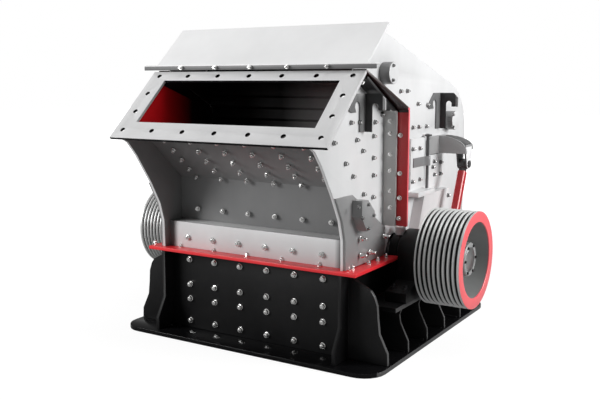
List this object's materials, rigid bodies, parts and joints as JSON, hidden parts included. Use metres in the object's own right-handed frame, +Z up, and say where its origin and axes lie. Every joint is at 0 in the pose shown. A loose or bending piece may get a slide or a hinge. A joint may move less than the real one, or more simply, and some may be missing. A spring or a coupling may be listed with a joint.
{
  "type": "impact crusher",
  "caption": "Impact crusher with a tilted feed inlet, a disc rotor with blow bars driven by grooved pulleys, and a rear housing that tips open on side jacks.",
  "frame": {"origin": "floor level under the middle of the machine's overall length and width", "axes": "+Z up, +X along the rotor shaft to the right side, the feed inlet faces -Y"},
  "size_m": [2.768, 2.6689, 2.2342],
  "materials": {
    "foot_plate": "semi-gloss black paint",
    "front_wall": "semi-gloss black paint",
    "rear_wall": "semi-gloss black paint",
    "base_side_right": "semi-gloss black paint",
    "base_side_left": "semi-gloss black paint",
    "bearing_housing_right": "semi-gloss black paint",
    "bearing_housing_left": "semi-gloss black paint",
    "front_mid_flange": "satin red paint",
    "rear_mid_flange": "satin red paint",
    "front_side_right": "satin white paint",
    "front_side_left": "satin white paint",
    "hopper_plate": "satin mid grey paint",
    "lower_front_panel": "satin light grey paint",
    "inlet_flange": "satin light grey paint",
    "inlet_liner_right": "satin red paint",
    "inlet_liner_left": "satin red paint",
    "front_split_flange_right": "satin mid grey paint",
    "front_split_flange_left": "satin mid grey paint",
    "jack_bracket_right": "semi-gloss black paint",
    "jack_bracket_left": "semi-gloss black paint",
    "front_hook_right": "dark grey paint",
    "front_hook_left": "dark grey paint",
    "rotor_shaft": "machined",
    "rotor_body": "dark grey paint",
    "blow_bar_1": "cast, part machined",
    "blow_bar_2": "cast, part machined",
    "blow_bar_3": "cast, part machined",
    "blow_bar_4": "cast, part machined",
    "pulley_right": "cast, part machined",
    "pulley_left": "cast, part machined",
    "rear_side_right": "satin white paint",
    "rear_side_left": "satin white paint",
    "back_cover": "satin white paint",
    "roof_plate": "satin white paint",
    "top_bar": "satin light grey paint",
    "rear_split_flange_right": "satin red paint",
    "rear_split_flange_left": "satin red paint",
    "front_apron_shaft": "dark grey paint",
    "rear_apron_shaft": "dark grey paint",
    "jack_arm_right": "dark grey paint",
    "jack_arm_left": "dark grey paint",
    "rear_hook_right": "dark grey paint",
    "rear_hook_left": "dark grey paint",
    "front_apron": "cast, part machined",
    "rear_apron": "cast, part machined",
    "jack_rod_right": "machined",
    "jack_rod_left": "machined",
    "jack_tube_right": "satin red paint",
    "jack_tube_left": "satin red paint",
    "door_right": "satin light grey paint",
    "door_left": "satin light grey paint"
  },
  "bodies": {
    "frame": {"foot_plate": "foot_plate", "front_wall": "front_wall", "rear_wall": "rear_wall", "base_side_right": "base_side_right", "base_side_left": "base_side_left", "bearing_housing_right": "bearing_housing_right", "bearing_housing_left": "bearing_housing_left", "front_mid_flange": "front_mid_flange", "rear_mid_flange": "rear_mid_flange", "front_side_right": "front_side_right", "front_side_left": "front_side_left", "hopper_plate": "hopper_plate", "lower_front_panel": "lower_front_panel", "inlet_flange": "inlet_flange", "inlet_liner_right": "inlet_liner_right", "inlet_liner_left": "inlet_liner_left", "front_split_flange_right": "front_split_flange_right", "front_split_flange_left": "front_split_flange_left", "jack_bracket_right": "jack_bracket_right", "jack_bracket_left": "jack_bracket_left", "front_hook_right": "front_hook_right", "front_hook_left": "front_hook_left"},
    "rotor": {"rotor_shaft": "rotor_shaft", "rotor_body": "rotor_body", "blow_bar_1": "blow_bar_1", "blow_bar_2": "blow_bar_2", "blow_bar_3": "blow_bar_3", "blow_bar_4": "blow_bar_4", "pulley_right": "pulley_right", "pulley_left": "pulley_left"},
    "rear_housing": {"rear_side_right": "rear_side_right", "rear_side_left": "rear_side_left", "back_cover": "back_cover", "roof_plate": "roof_plate", "top_bar": "top_bar", "rear_split_flange_right": "rear_split_flange_right", "rear_split_flange_left": "rear_split_flange_left", "front_apron_shaft": "front_apron_shaft", "rear_apron_shaft": "rear_apron_shaft", "jack_arm_right": "jack_arm_right", "jack_arm_left": "jack_arm_left", "rear_hook_right": "rear_hook_right", "rear_hook_left": "rear_hook_left"},
    "front_apron": {"front_apron": "front_apron"},
    "rear_apron": {"rear_apron": "rear_apron"},
    "jack_rod_right": {"jack_rod_right": "jack_rod_right"},
    "jack_rod_left": {"jack_rod_left": "jack_rod_left"},
    "jack_tube_right": {"jack_tube_right": "jack_tube_right"},
    "jack_tube_left": {"jack_tube_left": "jack_tube_left"},
    "door_right": {"door_right": "door_right"},
    "door_left": {"door_left": "door_left"}
  },
  "joints": [
    {"name": "rotor_spin", "type": "hinge", "parent": "frame", "child": "rotor", "pos_m": [0, -0.1705, 0.64], "axis": [1, 0, 0], "continuous": true},
    {"name": "rear_open", "type": "hinge", "parent": "frame", "child": "rear_housing", "pos_m": [0, 1.293, 0.62], "axis": [-1, 0, 0], "range_deg": [0, 40]},
    {"name": "front_apron_swing", "type": "hinge", "parent": "rear_housing", "child": "front_apron", "pos_m": [0, -0.377, 1.905], "axis": [1, 0, 0], "range_deg": [0, 10]},
    {"name": "rear_apron_swing", "type": "hinge", "parent": "rear_housing", "child": "rear_apron", "pos_m": [0, 0.789, 1.54], "axis": [1, 0, 0], "range_deg": [0, 10]},
    {"name": "jack_turn_right", "type": "hinge", "parent": "rear_housing", "child": "jack_rod_right", "pos_m": [0.97, 0.643, 1.21], "axis": [-1, 0, 0], "range_deg": [-24.98, 0.5]},
    {"name": "jack_slide_right", "type": "slide", "parent": "jack_rod_right", "child": "jack_tube_right", "axis": [0, -0.4084, -0.9128], "range_m": [0, 0.5371]},
    {"name": "jack_turn_left", "type": "hinge", "parent": "rear_housing", "child": "jack_rod_left", "pos_m": [-0.97, 0.643, 1.21], "axis": [-1, 0, 0], "range_deg": [-24.98, 0.5]},
    {"name": "jack_slide_left", "type": "slide", "parent": "jack_rod_left", "child": "jack_tube_left", "axis": [0, -0.4084, -0.9128], "range_m": [0, 0.5371]},
    {"name": "door_swing_right", "type": "hinge", "parent": "rear_housing", "child": "door_right", "pos_m": [0.796, 0.328, 1.052], "axis": [0, 0, 1], "range_deg": [0, 90]},
    {"name": "door_swing_left", "type": "hinge", "parent": "rear_housing", "child": "door_left", "pos_m": [-0.796, 0.328, 1.052], "axis": [0, 0, -1], "range_deg": [0, 90]}
  ],
  "couplings": [
    {"joint": "jack_turn_right", "follows": "rear_open", "ratio": -0.612},
    {"joint": "jack_slide_right", "follows": "rear_open", "m_per_rad": 0.765},
    {"joint": "jack_turn_left", "follows": "rear_open", "ratio": -0.612},
    {"joint": "jack_slide_left", "follows": "rear_open", "m_per_rad": 0.765}
  ]
}
